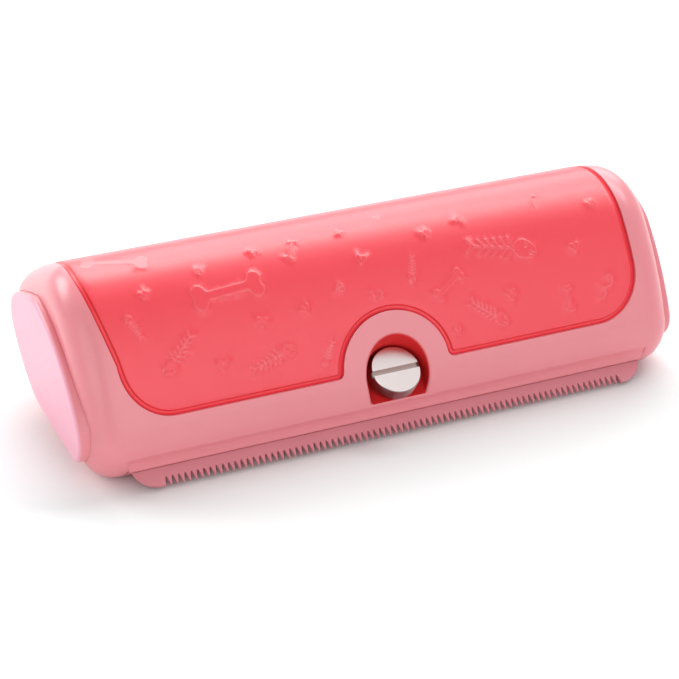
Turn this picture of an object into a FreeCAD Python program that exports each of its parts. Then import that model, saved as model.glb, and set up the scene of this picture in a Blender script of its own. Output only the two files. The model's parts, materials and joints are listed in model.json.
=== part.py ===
import FreeCAD, Part
import math
import os
from FreeCAD import Vector

# Deshedding brush: a palm-sized bar with a rounded, three-cornered section, a soft grip cover let
# into its back, a plate on each end, and a fine comb blade clamped under its front lip by one
# thumb screw. X runs along the bar, the blade faces -Y, Z is up, and the bar rests on its flat
# base. The origin is under the middle of its footprint. Sizes are in millimetres, angles in degrees.

# Overall length, over the two end plates
LENGTH = 152.0

# Body section: three corner circles joined by large arcs, standing on a flat base at height 0
NOSE_RADIUS = 11.1
APEX_RADIUS = 18.8
BACK_RADIUS = 12.1
FRONT_ARC_RADIUS = 71.0
TOP_ARC_RADIUS = 197.0
BASE_FLAT_WIDTH = 22.0
NOSE_TO_APEX = 16.56
NOSE_TO_BACK = 41.1
APEX_HEIGHT = 25.13
BACK_HEIGHT = 20.6
END_ROUNDING = 7.5

# Walls of the two body mouldings
WALL = 2.0
END_WALL = 3.2
BASE_WALL = 2.4

# End plates
PLATE_PROUD = 1.8
PLATE_SEAT_DEPTH = 1.2
LEFT_PLATE_NOSE_RADIUS = 7.4
LEFT_PLATE_NOSE_REARWARD = 0.6
LEFT_PLATE_NOSE_RISE = 1.3
LEFT_PLATE_APEX_RADIUS = 13.4
LEFT_PLATE_APEX_REARWARD = 7.2
LEFT_PLATE_APEX_DROP = 4.2
LEFT_PLATE_BACK_RADIUS = 7.2
LEFT_PLATE_BACK_FORWARD = 1.8
LEFT_PLATE_BACK_RISE = 1.0
LEFT_PLATE_FRONT_ARC_RADIUS = 38.1
LEFT_PLATE_TOP_ARC_RADIUS = 192.0
RIGHT_PLATE_INSET = 5.1
RIGHT_PLATE_APEX_DROP = 1.7
PLATE_RIM_ROUNDING = 1.2
PLATE_CLEARANCE = 0.1
PEG_RADIUS = 2.5
PEG_LENGTH = 4.5
PEG_CLEARANCE = 0.1

# Grip cover
COVER_THICKNESS = 1.6
COVER_GAP = 0.15
COVER_EDGE_HEIGHT = 16.7
COVER_TO_END = 10.7
LEFT_FLARE = 4.0
RIGHT_FLARE = 0.2
COVER_CORNER_RADIUS = 11.8
COVER_RIM_WIDTH = 0.9
COVER_RIM_DROP = 0.45
COVER_FOOT_RADIUS = 1.6
COLLAR_RADIUS = 13.25
COLLAR_TILT = 25.0

# Blade plane: it starts at the lip and rises to the rear, square to the screw
SCREW_ELEVATION = 54.4
LIP_SETBACK = 9.25
LIP_HEIGHT = 4.0
LIP_THICKNESS = 0.8
LIP_END_RADIUS = 1.5
COVE_HEIGHT = 4.2
COVE_DEPTH = 0.45
JAW_THICKNESS = 3.2

# Comb blade
BLADE_TO_END = 11.0
BLADE_END_ROOM = 1.0
BLADE_END_LAND = 6.4
BLADE_THICKNESS = 0.8
BLADE_REACH = 4.5
BLADE_DEPTH_INSIDE = 12.0
BLADE_CORNER_RADIUS = 6.0
BLADE_CLEARANCE = 0.05
BLADE_STOP_GAP = 0.3
BLADE_STOP_DEPTH = 1.6
TOOTH_PITCH = 1.5
TOOTH_DEPTH = 2.07
TOOTH_TIP_WIDTH = 0.24
GULLET_RADIUS = 0.24

# Thumb screw, its washer and the threaded insert that it turns in
SCREW_SETBACK = 7.1
HEAD_RADIUS = 6.0
HEAD_THICKNESS = 4.0
HEAD_CHAMFER = 0.25
KNURL_COUNT = 84
KNURL_DEPTH = 0.22
DRIVE_SLOT_WIDTH = 1.3
DRIVE_SLOT_DEPTH = 1.0
SHANK_RADIUS = 2.0
SHANK_LENGTH = 11.5
SHANK_CHAMFER = 0.4
SHANK_CLEARANCE = 0.3
THREAD_CLEARANCE = 0.05
WELL_SETBACK = 5.8
WELL_RADIUS = 7.7
WELL_RIM_ROUNDING = 0.8
WELL_WALL = 1.9
WELL_FLOOR = 5.0
WASHER_RADIUS = 4.9
WASHER_THICKNESS = 0.5
WASHER_BORE_CLEARANCE = 0.2
INSERT_RADIUS = 3.0
INSERT_LENGTH = 5.0
INSERT_DEPTH = 0.4
INSERT_WALL = 1.6
SEAT_CLEARANCE = 0.02
SHANK_END_ROOM = 0.6

# Base cover and its four screws
BASE_DEPTH = 34.5
BASE_GAP = 0.15
POST_RADIUS = 3.6
POST_TO_END = 17.0
POST_TO_NOSE = 10.5
POST_SPACING = 15.0
BASE_SCREW_RADIUS = 1.3
BASE_SCREW_LENGTH = 9.0
BASE_SCREW_HEAD_RADIUS = 2.4
BASE_SCREW_HEAD_HEIGHT = 1.1
BASE_SCREW_SINK = 0.5
BASE_SCREW_CLEARANCE = 0.15
BASE_SCREW_SLOT = 0.6

# Cutting tools: longer than the object in any direction, and how far past a face a short one runs
FAR = 200.0
PAST = 1.0

ALONG = Vector(1, 0, 0)


def circle_around_two(centre_a, radius_a, centre_b, radius_b, radius):
    """Centre of the large circle that touches both small circles around their outside."""
    dy = centre_b[0] - centre_a[0]
    dz = centre_b[1] - centre_a[1]
    distance = math.hypot(dy, dz)
    reach_a = radius - radius_a
    reach_b = radius - radius_b
    along = (reach_a ** 2 - reach_b ** 2 + distance ** 2) / (2 * distance)
    across = math.sqrt(reach_a ** 2 - along ** 2)
    return (
        centre_a[0] + (dy * along + dz * across) / distance,
        centre_a[1] + (dz * along - dy * across) / distance,
    )


def direction_angle(start, end):
    """Direction from one point of the section to another."""
    return math.degrees(math.atan2(end[1] - start[1], end[0] - start[0]))


class Outline:
    """Closed section outline: nose, front, apex, top, back and bottom arcs on a flat floor."""

    def __init__(self, nose, apex, back, front_radius, top_radius, flat_rear, floor):
        front = circle_around_two(nose[0], nose[1], apex[0], apex[1], front_radius)
        top = circle_around_two(apex[0], apex[1], back[0], back[1], top_radius)
        drop = back[0][1] - floor
        run = flat_rear - back[0][0]
        bottom_radius = (run ** 2 + drop ** 2 - back[1] ** 2) / (2 * (drop - back[1]))
        bottom = (flat_rear, floor + bottom_radius)
        front_low = direction_angle(front, nose[0]) % 360
        front_high = direction_angle(front, apex[0]) % 360
        top_front = direction_angle(top, apex[0])
        top_rear = direction_angle(top, back[0])
        bottom_rear = direction_angle(bottom, back[0])
        self.arcs = [
            (nose[0], nose[1], 270.0, front_low),
            (front, front_radius, front_low, front_high),
            (apex[0], apex[1], front_high, top_front),
            (top, top_radius, top_front, top_rear),
            (back[0], back[1], top_rear, bottom_rear),
            (bottom, bottom_radius, bottom_rear, -90.0),
        ]

    def wire(self, x, inset):
        """The outline as a wire in the plane at x, moved inwards by inset."""
        edges = []
        for centre, radius, start, end in self.arcs:
            points = []
            for angle in (start, (start + end) / 2, end):
                turn = math.radians(angle)
                y = centre[0] + (radius - inset) * math.cos(turn)
                z = centre[1] + (radius - inset) * math.sin(turn)
                points.append(Vector(x, y, z))
            edges.append(Part.Arc(points[0], points[1], points[2]).toShape())
        floor_rear = edges[-1].valueAt(edges[-1].LastParameter)
        floor_front = edges[0].valueAt(edges[0].FirstParameter)
        edges.append(Part.LineSegment(floor_rear, floor_front).toShape())
        return Part.Wire(edges)

    def prism(self, start, length, inset=0.0):
        """Solid bar of this outline from x = start."""
        return Part.Face(self.wire(start, inset)).extrude(ALONG * length)


# Heights above the blade plane, measured along the screw
blade_top = -BLADE_CLEARANCE
chin_top = blade_top - BLADE_THICKNESS - BLADE_CLEARANCE
washer_top = WELL_FLOOR + WASHER_THICKNESS
head_top = washer_top + HEAD_THICKNESS
shank_tip = washer_top - SHANK_LENGTH
shank_hole_end = shank_tip - SHANK_END_ROOM
insert_top = chin_top - INSERT_DEPTH
insert_bottom = insert_top - INSERT_LENGTH
slot_radius = SHANK_RADIUS + SHANK_CLEARANCE

# Depths up the blade plane, measured from the lip
stop_front = BLADE_DEPTH_INSIDE + BLADE_STOP_GAP
jaw_depth = stop_front + BLADE_STOP_DEPTH

# Places in the section: the footprint, from the screw's head to the back, is centred on y = 0
elevation = math.radians(SCREW_ELEVATION)
head_corner = head_top - HEAD_CHAMFER
front_reach = head_corner * math.cos(elevation) + (HEAD_RADIUS - SCREW_SETBACK) * math.sin(elevation)
back_reach = LIP_SETBACK + NOSE_TO_BACK + BACK_RADIUS
lip_y = (front_reach - back_reach) / 2
nose_y = lip_y + LIP_SETBACK
nose_centre = (nose_y, NOSE_RADIUS)
apex_centre = (nose_y + NOSE_TO_APEX, APEX_HEIGHT)
back_centre = (nose_y + NOSE_TO_BACK, BACK_HEIGHT)
flat_rear = nose_y + BASE_FLAT_WIDTH
body_outline = Outline(
    (nose_centre, NOSE_RADIUS),
    (apex_centre, APEX_RADIUS),
    (back_centre, BACK_RADIUS),
    FRONT_ARC_RADIUS,
    TOP_ARC_RADIUS,
    flat_rear,
    0.0,
)
left_plate_nose = (nose_centre[0] + LEFT_PLATE_NOSE_REARWARD, nose_centre[1] + LEFT_PLATE_NOSE_RISE)
left_plate_apex = (apex_centre[0] + LEFT_PLATE_APEX_REARWARD, apex_centre[1] - LEFT_PLATE_APEX_DROP)
left_plate_back = (back_centre[0] - LEFT_PLATE_BACK_FORWARD, back_centre[1] + LEFT_PLATE_BACK_RISE)
left_plate_outline = Outline(
    (left_plate_nose, LEFT_PLATE_NOSE_RADIUS),
    (left_plate_apex, LEFT_PLATE_APEX_RADIUS),
    (left_plate_back, LEFT_PLATE_BACK_RADIUS),
    LEFT_PLATE_FRONT_ARC_RADIUS,
    LEFT_PLATE_TOP_ARC_RADIUS,
    flat_rear,
    left_plate_nose[1] - LEFT_PLATE_NOSE_RADIUS,
)
right_plate_outline = Outline(
    (nose_centre, NOSE_RADIUS - RIGHT_PLATE_INSET),
    ((apex_centre[0], apex_centre[1] - RIGHT_PLATE_APEX_DROP), APEX_RADIUS - RIGHT_PLATE_INSET),
    (back_centre, BACK_RADIUS - RIGHT_PLATE_INSET),
    FRONT_ARC_RADIUS - RIGHT_PLATE_INSET,
    TOP_ARC_RADIUS - RIGHT_PLATE_INSET,
    flat_rear,
    RIGHT_PLATE_INSET,
)

# Each end's plate by its side of the middle: its outline, and where its two pegs stand
plate_outlines = {-1: left_plate_outline, 1: right_plate_outline}
peg_places = {-1: [left_plate_nose, left_plate_back], 1: [nose_centre, back_centre]}

body_end = LENGTH / 2 - PLATE_PROUD
plate_seat = body_end - PLATE_SEAT_DEPTH
blade_half = LENGTH / 2 - BLADE_TO_END
mouth_half = blade_half + BLADE_END_ROOM
cavity_half = body_end - END_WALL
shell_wall = COVER_THICKNESS + WALL

UP_SLOPE = Vector(0, math.sin(elevation), math.cos(elevation))
OUTWARD = Vector(0, -math.cos(elevation), math.sin(elevation))
LIP = Vector(0, lip_y, LIP_HEIGHT)


def on_blade(x, inward, height=0.0):
    """Point given along the bar, up the blade plane from the lip, and above that plane."""
    return LIP + ALONG * x + UP_SLOPE * inward + OUTWARD * height


def screw_cylinder(radius, low, high):
    """Cylinder about the thumb screw's axis, between two heights above the blade plane."""
    return Part.makeCylinder(radius, high - low, on_blade(0, SCREW_SETBACK, low), OUTWARD)


def well_cylinder(radius, low, high):
    """Cylinder about the well's middle, square to the blade plane, between two heights above it."""
    return Part.makeCylinder(radius, high - low, on_blade(0, WELL_SETBACK, low), OUTWARD)


def bar(points, half_length):
    """Solid bar whose section is the polygon through the given points, centred along the bar."""
    start = [Vector(-half_length, p.y, p.z) for p in points]
    return Part.Face(Part.makePolygon(start + start[:1])).extrude(ALONG * 2 * half_length)


def rounded_body():
    """The body's outer form, with both ends rounded."""
    body = body_outline.prism(-body_end, 2 * body_end)
    end_edges = [edge for edge in body.Edges if edge.BoundBox.XLength < END_ROUNDING]
    return body.makeFillet(END_ROUNDING, end_edges)


def mouth(half_length, height, end, rear_gap):
    """Everything under the blade plane and ahead of the base's rear edge, as a cutting tool."""
    corner = on_blade(0, end, height)
    rear = nose_y + BASE_DEPTH + rear_gap
    return bar(
        [
            on_blade(0, -FAR, height),
            corner,
            Vector(0, rear, corner.z),
            Vector(0, rear, -FAR),
            Vector(0, -FAR, -FAR),
        ],
        half_length,
    )


def cover_band(grow):
    """The grip cover's outline seen from the front, as a tool that passes right through."""
    half = LENGTH / 2 - COVER_TO_END + grow
    low = COVER_EDGE_HEIGHT - grow
    radius = COVER_CORNER_RADIUS + grow
    shoulder = low + radius
    stretch = (FAR - shoulder) / (APEX_HEIGHT + APEX_RADIUS - shoulder)
    left = half + LEFT_FLARE * stretch
    right = half + RIGHT_FLARE * stretch
    diagonal = radius * (1 - math.sqrt(0.5))
    depth = -FAR / 2

    def corner(side):
        return Part.Arc(
            Vector(side * (half - radius), depth, low),
            Vector(side * (half - diagonal), depth, low + diagonal),
            Vector(side * half, depth, shoulder),
        ).toShape()

    def straight(x_a, z_a, x_b, z_b):
        return Part.LineSegment(Vector(x_a, depth, z_a), Vector(x_b, depth, z_b)).toShape()

    edges = [
        straight(radius - half, low, half - radius, low),
        corner(1),
        straight(half, shoulder, right, FAR),
        straight(right, FAR, -left, FAR),
        straight(-left, FAR, -half, shoulder),
        corner(-1),
    ]
    return Part.Face(Part.Wire(Part.__sortEdges__(edges))).extrude(Vector(0, FAR, 0))


def collar(grow):
    """Round collar about the screw's well, on flared feet, which notches the cover's front edge."""
    tilt = math.radians(COLLAR_TILT)
    forward = Vector(0, -math.cos(tilt), math.sin(tilt))
    up = Vector(0, math.sin(tilt), math.cos(tilt))
    centre, reach = body_outline.arcs[1][0], body_outline.arcs[1][1]
    edge_y = centre[0] - math.sqrt(reach ** 2 - (COVER_EDGE_HEIGHT - centre[1]) ** 2)
    start = Vector(0, edge_y, COVER_EDGE_HEIGHT) - forward * COLLAR_RADIUS
    radius = COLLAR_RADIUS + grow
    foot_radius = COVER_FOOT_RADIUS + COVER_GAP - grow
    foot_x = math.sqrt((radius + foot_radius) ** 2 - COVER_FOOT_RADIUS ** 2)
    lean = math.atan2(COVER_FOOT_RADIUS, foot_x)
    middle_reach = foot_radius * math.cos((math.pi / 2 + lean) / 2)
    middle_drop = foot_radius * math.sin((math.pi / 2 + lean) / 2)

    def at(x, rise):
        return start + ALONG * x + up * rise

    def foot(side):
        return Part.Arc(
            at(side * foot_x, COVER_FOOT_RADIUS - foot_radius),
            at(side * (foot_x - middle_reach), COVER_FOOT_RADIUS - middle_drop),
            at(side * radius * math.cos(lean), radius * math.sin(lean)),
        ).toShape()

    edges = [foot(-1), foot(1)]
    tops = [edge.valueAt(edge.LastParameter) for edge in edges]
    edges.append(Part.Arc(tops[0], at(0, radius), tops[1]).toShape())
    ends = [at(side * foot_x, COVER_FOOT_RADIUS - foot_radius) for side in (-1, 1)]
    low = [at(side * foot_x, -COLLAR_RADIUS) for side in (-1, 1)]
    for a, b in ((ends[0], low[0]), (low[0], low[1]), (low[1], ends[1])):
        edges.append(Part.LineSegment(a, b).toShape())
    return Part.Face(Part.Wire(Part.__sortEdges__(edges))).extrude(forward * 2 * COLLAR_RADIUS)


def post_places():
    """Middle of each of the four screw posts that hold the base cover."""
    x = LENGTH / 2 - POST_TO_END
    y = nose_y + POST_TO_NOSE
    return [Vector(sx * x, y + dy, 0) for sx in (-1, 1) for dy in (0, POST_SPACING)]


def nose_depth(height):
    """How far the nose's surface lies behind the lip at a height above the blade plane."""
    centre = Vector(0, nose_centre[0], nose_centre[1]) - LIP
    rise = height - centre.dot(OUTWARD)
    return centre.dot(UP_SLOPE) - math.sqrt(NOSE_RADIUS ** 2 - rise ** 2)


def lip_bead():
    """Thin lip over the blade, with rounded ends, leaning back into the nose."""
    bead = bar(
        [
            on_blade(0, 0, 0),
            on_blade(0, 0, LIP_THICKNESS),
            on_blade(0, nose_depth(COVE_HEIGHT), COVE_HEIGHT),
            on_blade(0, JAW_THICKNESS, COVE_HEIGHT),
            on_blade(0, JAW_THICKNESS, 0),
        ],
        mouth_half,
    )
    corners = [on_blade(x, 0, LIP_THICKNESS / 2) for x in (-mouth_half, mouth_half)]
    ends = []
    for edge in bead.Edges:
        if min(edge.CenterOfMass.distanceToPoint(corner) for corner in corners) < LIP_THICKNESS / 2:
            ends.append(edge)
    return bead.makeFillet(LIP_END_RADIUS, ends)


def lip_cove():
    """Round cutting tool that hollows the nose along the top of the lip."""
    depth = nose_depth(COVE_HEIGHT)
    rise = COVE_HEIGHT - LIP_THICKNESS
    chord = math.hypot(depth, rise)
    radius = (chord ** 2 / 4 + COVE_DEPTH ** 2) / (2 * COVE_DEPTH)
    outward = (radius - COVE_DEPTH) / chord
    inward = depth / 2 - outward * rise
    height = LIP_THICKNESS + rise / 2 + outward * depth
    return Part.makeCylinder(radius, 2 * mouth_half, on_blade(-mouth_half, inward, height), ALONG)


def well_hollow(body):
    """Space of the screw's well, widening in a round at the nose's surface."""
    bored = body.cut(well_cylinder(WELL_RADIUS, WELL_FLOOR, FAR))
    floor = on_blade(0, WELL_SETBACK, WELL_FLOOR)
    rim = []
    for edge in bored.Edges:
        ends = [edge.valueAt(t) - floor for t in (edge.FirstParameter, edge.LastParameter)]
        on_wall = max(abs(end.cross(OUTWARD).Length - WELL_RADIUS) for end in ends) < SEAT_CLEARANCE
        if on_wall and max(end.dot(OUTWARD) for end in ends) > WELL_RIM_ROUNDING:
            rim.append(edge)
    return body.cut(bored.makeFillet(WELL_RIM_ROUNDING, rim))


def make_body_shell(body):
    """Upper moulding: back, front and ends, with the jaw, the screw's well and four posts."""
    cavity = body_outline.prism(-cavity_half, 2 * cavity_half, shell_wall)
    jaw = bar(
        [
            on_blade(0, 0, 0),
            on_blade(0, jaw_depth, 0),
            on_blade(0, jaw_depth, JAW_THICKNESS),
            on_blade(0, 0, JAW_THICKNESS),
        ],
        mouth_half,
    )
    well_wall = well_cylinder(WELL_RADIUS + WELL_WALL, 0, FAR)
    shell = body.cut(cavity).fuse([jaw.common(body), well_wall.common(body), lip_bead()])
    shell = shell.cut(mouth(mouth_half, 0, jaw_depth + BASE_GAP, BASE_GAP))
    room = body_outline.prism(-cavity_half, 2 * cavity_half, BASE_WALL + SEAT_CLEARANCE)
    posts = [Part.makeCylinder(POST_RADIUS, FAR, place) for place in post_places()]
    shell = shell.fuse([post.common(room) for post in posts])
    tools = [
        lip_cove(),
        well_hollow(body),
        screw_cylinder(slot_radius, -FAR, WELL_FLOOR + PAST),
        cover_skin(body, COVER_THICKNESS, COVER_GAP),
    ]
    pilot_depth = BASE_SCREW_SINK + BASE_SCREW_HEAD_HEIGHT + BASE_SCREW_LENGTH + BASE_SCREW_CLEARANCE
    for place in post_places():
        tools.append(Part.makeCylinder(BASE_SCREW_RADIUS + SEAT_CLEARANCE, pilot_depth, place))
    for side in (-1, 1):
        tools.append(end_plate_form(side, PLATE_CLEARANCE))
        for y, z in peg_places[side]:
            start = Vector(side * (plate_seat + PLATE_SEAT_DEPTH), y, z)
            tools.append(Part.makeCylinder(PEG_RADIUS + PEG_CLEARANCE, 2 * END_WALL, start, ALONG * -side))
    return shell.cut(tools).removeSplitter()


def cover_skin(body, depth, grow):
    """Layer of the body under the grip cover's outline, with that outline grown all round."""
    skin = body.cut(body_outline.prism(-LENGTH, 2 * LENGTH, depth))
    return skin.common(cover_band(grow)).cut(collar(COVER_GAP - grow))


def make_grip_cover(body):
    """Soft cover over the back of the bar, flush with the shell, with a lower rim at its edge."""
    face = cover_skin(body, COVER_RIM_DROP, -COVER_RIM_WIDTH)
    layer = cover_skin(body, COVER_THICKNESS, 0)
    lower = layer.cut(cover_skin(body, COVER_RIM_DROP, 0))
    return lower.fuse(face).removeSplitter()


def end_plate_form(side, clearance):
    """Bare plate on one end, grown by a clearance, from its seat outwards."""
    x = side * plate_seat
    face = Part.Face(plate_outlines[side].wire(x, -clearance))
    return face.extrude(ALONG * side * (LENGTH / 2 - plate_seat))


def make_end_plate(side):
    """End plate with a rounded rim and two pegs that locate it in the shell's end wall."""
    plate = end_plate_form(side, 0)
    outer = side * LENGTH / 2
    rim = [e for e in plate.Edges if abs(e.CenterOfMass.x - outer) < PLATE_CLEARANCE]
    plate = plate.makeFillet(PLATE_RIM_ROUNDING, rim)
    for y, z in peg_places[side]:
        start = Vector(side * (plate_seat + PLATE_SEAT_DEPTH / 2), y, z)
        length = PEG_LENGTH + PLATE_SEAT_DEPTH / 2
        plate = plate.fuse(Part.makeCylinder(PEG_RADIUS, length, start, ALONG * -side))
    return plate.removeSplitter()


def make_base_cover(body):
    """Lower moulding: the chin that backs the blade, the insert's boss and the flat base."""
    half = mouth_half - BASE_GAP
    region = mouth(half, chin_top, jaw_depth, 0)
    inside = body_outline.prism(-LENGTH, 2 * LENGTH, BASE_WALL)
    skin = body.cut(inside).common(region)
    chin = bar(
        [
            on_blade(0, -FAR, chin_top),
            on_blade(0, jaw_depth, chin_top),
            on_blade(0, jaw_depth, chin_top - JAW_THICKNESS),
            on_blade(0, -FAR, chin_top - JAW_THICKNESS),
        ],
        half,
    )
    stop = bar(
        [
            on_blade(0, stop_front, chin_top - JAW_THICKNESS),
            on_blade(0, stop_front, blade_top),
            on_blade(0, jaw_depth, blade_top),
            on_blade(0, jaw_depth, chin_top - JAW_THICKNESS),
        ],
        blade_half,
    )
    boss = screw_cylinder(INSERT_RADIUS + INSERT_WALL, shank_hole_end - INSERT_WALL, chin_top)
    base = skin.fuse([chin.common(body), stop, boss.common(body)])
    tools = [
        screw_cylinder(slot_radius, shank_hole_end, FAR),
        screw_cylinder(INSERT_RADIUS + SEAT_CLEARANCE, insert_bottom, insert_top),
    ]
    for place in post_places():
        tools.append(Part.makeCylinder(BASE_SCREW_RADIUS + BASE_SCREW_CLEARANCE, BASE_WALL + PAST, place))
        head_room = BASE_SCREW_SINK + BASE_SCREW_HEAD_HEIGHT
        tools.append(Part.makeCylinder(BASE_SCREW_HEAD_RADIUS + BASE_SCREW_CLEARANCE, head_room, place))
    return base.cut(tools).removeSplitter()


def make_comb_blade():
    """Flat steel comb: pointed teeth with round gullets, round corners and an open screw slot."""
    half = blade_half
    gullets = int((half - BLADE_END_LAND) * 2 / TOOTH_PITCH)
    tip = -BLADE_REACH
    rear = BLADE_DEPTH_INSIDE
    radius = BLADE_CORNER_RADIUS
    diagonal = radius * (1 - math.sqrt(0.5))
    gullet_end = tip + TOOTH_DEPTH
    flank = (TOOTH_PITCH - TOOTH_TIP_WIDTH) / 2
    edges = []

    def at(x, inward):
        return on_blade(x, inward, blade_top)

    def line(a, b):
        edges.append(Part.LineSegment(a, b).toShape())

    def arc(a, b, c):
        edges.append(Part.Arc(a, b, c).toShape())

    line(at(-half, rear), at(-half, tip + radius))
    arc(at(-half, tip + radius), at(diagonal - half, tip + diagonal), at(radius - half, tip))
    here = at(radius - half, tip)
    for number in range(gullets):
        x = (number - (gullets - 1) / 2) * TOOTH_PITCH
        line(here, at(x - flank, tip))
        line(at(x - flank, tip), at(x - GULLET_RADIUS, gullet_end - GULLET_RADIUS))
        arc(
            at(x - GULLET_RADIUS, gullet_end - GULLET_RADIUS),
            at(x, gullet_end),
            at(x + GULLET_RADIUS, gullet_end - GULLET_RADIUS),
        )
        line(at(x + GULLET_RADIUS, gullet_end - GULLET_RADIUS), at(x + flank, tip))
        here = at(x + flank, tip)
    line(here, at(half - radius, tip))
    arc(at(half - radius, tip), at(half - diagonal, tip + diagonal), at(half, tip + radius))
    line(at(half, tip + radius), at(half, rear))
    line(at(half, rear), at(slot_radius, rear))
    line(at(slot_radius, rear), at(slot_radius, SCREW_SETBACK))
    arc(at(slot_radius, SCREW_SETBACK), at(0, SCREW_SETBACK - slot_radius), at(-slot_radius, SCREW_SETBACK))
    line(at(-slot_radius, SCREW_SETBACK), at(-slot_radius, rear))
    line(at(-slot_radius, rear), at(-half, rear))
    return Part.Face(Part.Wire(edges)).extrude(OUTWARD * -BLADE_THICKNESS)


def make_thumb_screw():
    """Slotted screw with a straight-knurled head."""
    points = []
    for number in range(2 * KNURL_COUNT):
        turn = math.pi * number / KNURL_COUNT
        reach = HEAD_RADIUS - KNURL_DEPTH * (number % 2)
        points.append(on_blade(reach * math.cos(turn), SCREW_SETBACK + reach * math.sin(turn), washer_top))
    knurled = Part.Face(Part.makePolygon(points + points[:1])).extrude(OUTWARD * HEAD_THICKNESS)
    blank = screw_cylinder(HEAD_RADIUS, washer_top, head_top)
    rims = [e for e in blank.Edges if len(e.Vertexes) == 1]
    head = knurled.common(blank.makeChamfer(HEAD_CHAMFER, rims))
    drive_slot = bar(
        [
            on_blade(0, SCREW_SETBACK - DRIVE_SLOT_WIDTH / 2, head_top - DRIVE_SLOT_DEPTH),
            on_blade(0, SCREW_SETBACK + DRIVE_SLOT_WIDTH / 2, head_top - DRIVE_SLOT_DEPTH),
            on_blade(0, SCREW_SETBACK + DRIVE_SLOT_WIDTH / 2, head_top + PAST),
            on_blade(0, SCREW_SETBACK - DRIVE_SLOT_WIDTH / 2, head_top + PAST),
        ],
        2 * HEAD_RADIUS,
    )
    shank = screw_cylinder(SHANK_RADIUS, shank_tip, washer_top)
    tip = on_blade(0, SCREW_SETBACK, shank_tip)
    tip_rim = [e for e in shank.Edges if e.CenterOfMass.distanceToPoint(tip) < SHANK_CHAMFER]
    shank = shank.makeChamfer(SHANK_CHAMFER, tip_rim)
    return head.cut(drive_slot).fuse(shank).removeSplitter()


def make_washer():
    """Plain washer under the screw's head."""
    disc = screw_cylinder(WASHER_RADIUS, WELL_FLOOR, washer_top)
    return disc.cut(screw_cylinder(SHANK_RADIUS + WASHER_BORE_CLEARANCE, 0, FAR))


def make_threaded_insert():
    """Brass insert in the base cover's boss, in line with the thumb screw."""
    sleeve = screw_cylinder(INSERT_RADIUS, insert_bottom, insert_top)
    return sleeve.cut(screw_cylinder(SHANK_RADIUS + THREAD_CLEARANCE, -FAR, FAR))


def make_base_screw(place):
    """Slotted pan-head screw that holds the base cover to one post."""
    head_bottom = place + Vector(0, 0, BASE_SCREW_SINK)
    head = Part.makeCylinder(BASE_SCREW_HEAD_RADIUS, BASE_SCREW_HEAD_HEIGHT, head_bottom)
    shank_start = head_bottom + Vector(0, 0, BASE_SCREW_HEAD_HEIGHT)
    shank = Part.makeCylinder(BASE_SCREW_RADIUS, BASE_SCREW_LENGTH, shank_start)
    slot_corner = head_bottom - Vector(BASE_SCREW_HEAD_RADIUS, BASE_SCREW_SLOT / 2, 0)
    slot = Part.makeBox(2 * BASE_SCREW_HEAD_RADIUS, BASE_SCREW_SLOT, BASE_SCREW_SLOT, slot_corner)
    return head.fuse(shank).cut(slot).removeSplitter()


def export(name, shape):
    """Write one node's solid as a STEP file."""
    assert shape.isValid() and len(shape.Solids) == 1, name
    shape.Solids[0].exportStep(os.path.join("parts", name + ".step"))
    print("%s: %.1f cubic mm" % (name, shape.Volume))


os.makedirs("parts", exist_ok=True)
outer_form = rounded_body()
export("body_shell", make_body_shell(outer_form))
export("base_cover", make_base_cover(outer_form))
export("grip_cover", make_grip_cover(outer_form))
export("left_end_plate", make_end_plate(-1))
export("right_end_plate", make_end_plate(1))
export("comb_blade", make_comb_blade())
export("thumb_screw", make_thumb_screw())
export("screw_washer", make_washer())
export("threaded_insert", make_threaded_insert())
for count, spot in enumerate(post_places(), 1):
    export("base_screw_%d" % count, make_base_screw(spot))
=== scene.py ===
"""Deshedding brush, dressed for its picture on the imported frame.

The bar lies along X, the comb blade faces -Y, Z is up, and everything is in metres.
"""

import json
import logging
import math
from dataclasses import dataclass, field
from enum import Enum, member
from typing import Callable, Iterable

import bpy
import numpy as np
from mathutils import Matrix, Vector, kdtree
from mathutils.geometry import delaunay_2d_cdt


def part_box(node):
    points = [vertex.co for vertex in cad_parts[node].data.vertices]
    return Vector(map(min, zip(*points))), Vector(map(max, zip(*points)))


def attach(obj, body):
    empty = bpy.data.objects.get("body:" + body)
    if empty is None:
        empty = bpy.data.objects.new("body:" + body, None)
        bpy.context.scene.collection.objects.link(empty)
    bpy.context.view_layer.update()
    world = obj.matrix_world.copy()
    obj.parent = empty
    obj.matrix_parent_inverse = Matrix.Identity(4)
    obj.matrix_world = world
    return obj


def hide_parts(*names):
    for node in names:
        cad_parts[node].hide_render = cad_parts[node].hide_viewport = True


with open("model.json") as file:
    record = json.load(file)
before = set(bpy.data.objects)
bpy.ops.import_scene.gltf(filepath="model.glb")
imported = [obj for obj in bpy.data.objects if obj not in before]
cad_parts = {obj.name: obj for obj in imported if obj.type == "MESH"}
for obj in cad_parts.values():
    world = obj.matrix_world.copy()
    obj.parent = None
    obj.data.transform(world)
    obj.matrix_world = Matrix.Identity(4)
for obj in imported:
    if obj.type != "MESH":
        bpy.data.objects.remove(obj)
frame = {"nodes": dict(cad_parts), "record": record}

LOG = logging.getLogger("brush")
MM = 0.001
EDGE_DISTANCE = "edge_distance"
# Mesh attribute: the band along each ornament's edge that gets a painted highlight.
MOTIF_HIGHLIGHT = "motif_highlight"
Array = np.ndarray
Colour = tuple[float, float, float]
Spot = tuple[float, float]
Socket = bpy.types.NodeSocket
# A Mix node's sockets for colours, by number, and its result.
MIX_FIRST, MIX_SECOND, MIX_RESULT = 6, 7, 2
# The arcs of the bar's section that the cover's front and rear edges lie on.
FRONT_FACE, REAR_CORNER = 1, 4


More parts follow.
